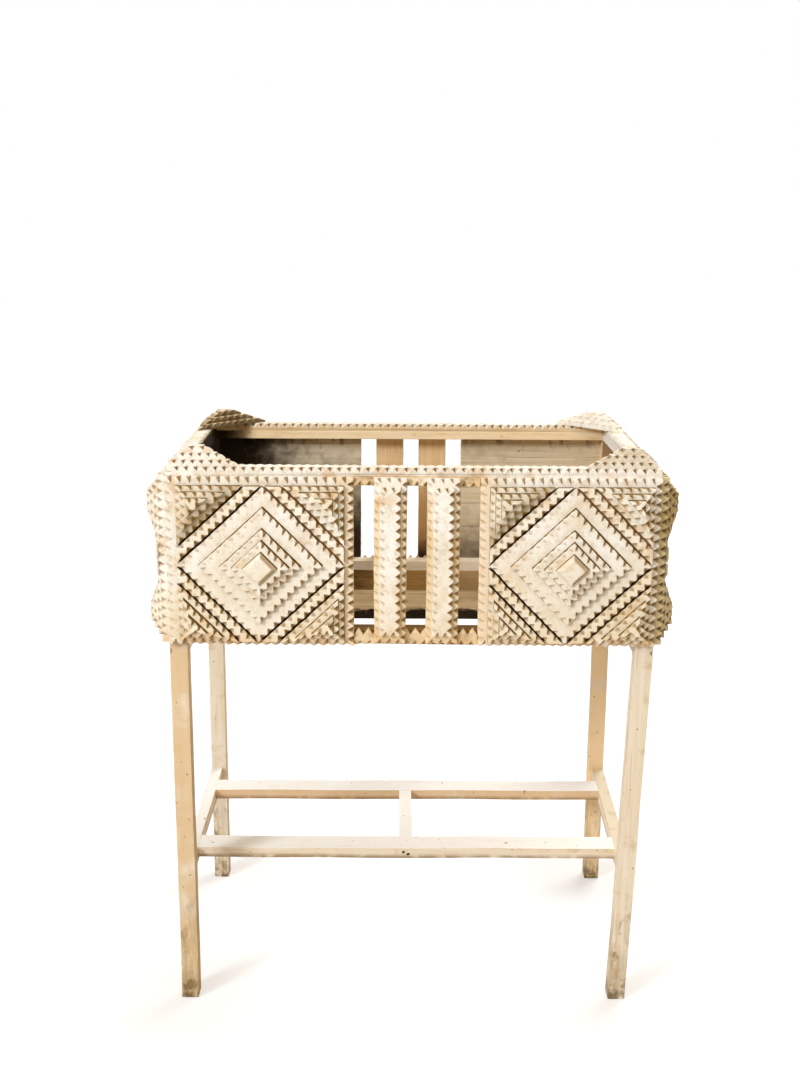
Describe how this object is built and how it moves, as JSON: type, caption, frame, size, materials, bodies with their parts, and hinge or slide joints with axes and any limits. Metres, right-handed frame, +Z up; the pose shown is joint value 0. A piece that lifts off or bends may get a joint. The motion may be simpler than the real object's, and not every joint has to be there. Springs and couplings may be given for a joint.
{
  "type": "tramp art planter stand",
  "caption": "Open slatted planter box with chip-carved diamond and triangle stacks, on square legs joined by stretchers.",
  "frame": {"origin": "on the floor under the middle of the stand", "axes": "+Z up, +X to the right seen from the front, front towards -Y"},
  "size_m": [0.77, 0.488, 0.84],
  "materials": {
    "carved_paint": "worn off-white oil paint over chip-carved softwood, brown in the notches",
    "stand_paint": "worn off-white oil paint over planed softwood, bare and dirty near the feet",
    "rail_wood": "thin cream wash over bare tan softwood",
    "floor_wood": "bare weathered softwood, brown and grey",
    "nail_iron": "rusted wire nails"
  },
  "bodies": {
    "root": {"leg_front_left": "stand_paint", "leg_front_right": "stand_paint", "leg_rear_left": "stand_paint", "leg_rear_right": "stand_paint", "side_stretcher_left": "stand_paint", "side_stretcher_right": "stand_paint", "long_stretcher_front": "stand_paint", "long_stretcher_rear": "stand_paint", "cross_stretcher": "stand_paint", "stretcher_nails": "nail_iron", "top_rail_front": "rail_wood", "top_rail_rear": "rail_wood", "top_rail_left": "rail_wood", "top_rail_right": "rail_wood", "low_rail_front": "rail_wood", "low_rail_rear": "rail_wood", "low_rail_left": "rail_wood", "low_rail_right": "rail_wood", "floor_board_rear": "floor_wood", "floor_board_middle": "floor_wood", "board_front_left": "carved_paint", "board_front_right": "carved_paint", "board_rear_left": "carved_paint", "board_rear_right": "carved_paint", "board_end_left": "carved_paint", "board_end_right": "carved_paint", "diamond_front_left": "carved_paint", "diamond_front_right": "carved_paint", "diamond_rear_left": "carved_paint", "diamond_rear_right": "carved_paint", "diamond_end_left": "carved_paint", "diamond_end_right": "carved_paint", "triangles_front_left": "carved_paint", "triangles_front_right": "carved_paint", "triangles_rear_left": "carved_paint", "triangles_rear_right": "carved_paint", "triangles_end_left": "carved_paint", "triangles_end_right": "carved_paint", "bay_strip_top_front": "carved_paint", "bay_strip_top_rear": "carved_paint", "bay_strip_low_front": "carved_paint", "bay_strip_low_rear": "carved_paint", "slat_front_left": "carved_paint", "slat_front_right": "carved_paint", "slat_rear_left": "carved_paint", "slat_rear_right": "carved_paint", "overlay_front_left": "carved_paint", "overlay_front_right": "carved_paint", "overlay_rear_left": "carved_paint", "overlay_rear_right": "carved_paint", "rim_front": "carved_paint", "rim_rear": "carved_paint", "rim_left": "carved_paint", "rim_right": "carved_paint", "rim_corner_front_left": "carved_paint", "rim_corner_front_right": "carved_paint", "rim_corner_rear_left": "carved_paint", "rim_corner_rear_right": "carved_paint"}
  },
  "joints": []
}
